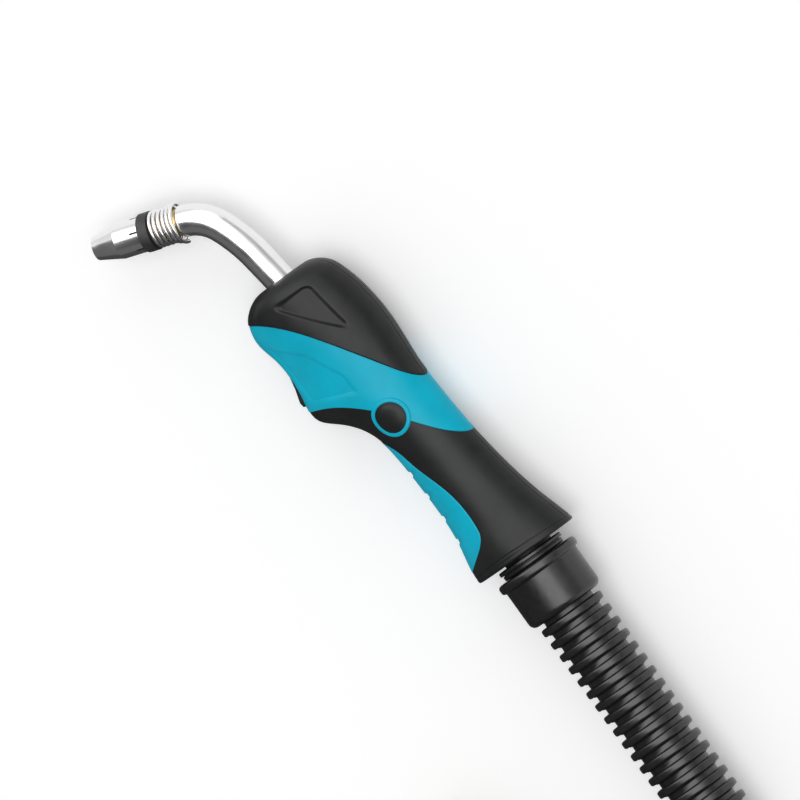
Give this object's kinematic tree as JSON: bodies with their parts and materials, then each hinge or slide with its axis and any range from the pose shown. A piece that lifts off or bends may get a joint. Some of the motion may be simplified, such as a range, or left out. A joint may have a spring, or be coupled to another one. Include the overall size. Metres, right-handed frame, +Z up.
{
  "type": "mig welding torch",
  "caption": "Gas shielded welding torch with bent neck, trigger handle, ball joint, ribbed sleeve and coiled cable with machine plug.",
  "frame": {"origin": "on the bench, under the middle of the torch without its free cable and plug", "axes": "+X forwards along the handle, +Y to the trigger side, +Z up, which is the torch's left: it lies on its right side"},
  "size_m": [0.7565, 0.2216, 0.0506],
  "materials": {
    "black_plastic": "satin",
    "teal_plastic": "satin",
    "black_rubber": "semi gloss",
    "cable_rubber": "satin",
    "bright_metal": "polished",
    "brass": "turned",
    "copper": "turned",
    "steel": "bright",
    "insulator": "matt",
    "white_plastic": "matt"
  },
  "bodies": {
    "handle": {"left_shell": "black_plastic", "right_shell": "black_plastic", "left_band": "teal_plastic", "right_band": "teal_plastic", "left_emblem": "black_plastic", "right_emblem": "black_plastic", "palm_insert": "teal_plastic", "neck_tube": "bright_metal", "neck_insulation": "white_plastic", "inner_tube": "copper", "wire_liner": "steel", "neck_nut": "brass", "cable_ferrule": "brass", "inner_cable": "cable_rubber", "neck_adapter": "brass", "nozzle_insulator": "insulator", "gas_diffuser": "brass", "contact_tip": "copper", "nozzle_spring": "bright_metal", "trigger_pin": "steel", "switch_body": "black_plastic", "trigger_spring": "steel", "switch_leads": "cable_rubber", "handle_screws": "steel"},
    "trigger_lever": {"trigger": "black_plastic"},
    "switch_button": {"switch_plunger": "white_plastic"},
    "nozzle": {"gas_nozzle": "bright_metal"},
    "swivel": {"swivel_ball": "black_plastic", "cable_core": "cable_rubber", "cable_run": "cable_rubber", "cable_coil": "cable_rubber", "cable_tail": "cable_rubber", "plug_sleeve": "black_rubber", "plug_lead": "cable_rubber", "plug_housing_top": "black_plastic", "plug_housing_base": "black_plastic", "plug_screws": "steel", "plug_body": "brass", "plug_spigot": "brass", "plug_pins": "brass", "plug_seals": "black_rubber"},
    "sleeve": {"hose_collar": "black_plastic", "kink_sleeve": "black_rubber"},
    "lock_nut": {"plug_nut": "black_plastic"}
  },
  "joints": [
    {"name": "trigger_press", "type": "hinge", "parent": "handle", "child": "trigger_lever", "pos_m": [0.14099, 0.00969, 0.0253], "axis": [0, 0, 1], "range_deg": [0, 6.5], "stiffness_Nm_per_rad": 2, "springref_deg": -2.86},
    {"name": "plunger_travel", "type": "slide", "parent": "handle", "child": "switch_button", "axis": [0, -1, 0], "range_m": [0, 0.0034]},
    {"name": "nozzle_pull", "type": "slide", "parent": "handle", "child": "nozzle", "axis": [0.2924, 0.9563, 0], "range_m": [0, 0.045]},
    {"name": "ball_tilt", "type": "hinge", "parent": "handle", "child": "swivel", "pos_m": [-0.02401, -0.03761, 0.0253], "axis": [0, 0, 1], "range_deg": [-10, 10]},
    {"name": "sleeve_spin", "type": "hinge", "parent": "swivel", "child": "sleeve", "pos_m": [-0.05801, -0.03761, 0.0253], "axis": [1, 0, 0], "continuous": true},
    {"name": "lock_nut_spin", "type": "hinge", "parent": "swivel", "child": "lock_nut", "pos_m": [-0.16701, 0.10054, 0.022], "axis": [1, 0, 0], "continuous": true}
  ],
  "couplings": [
    {"joint": "plunger_travel", "follows": "trigger_press", "m_per_rad": 0.029}
  ]
}
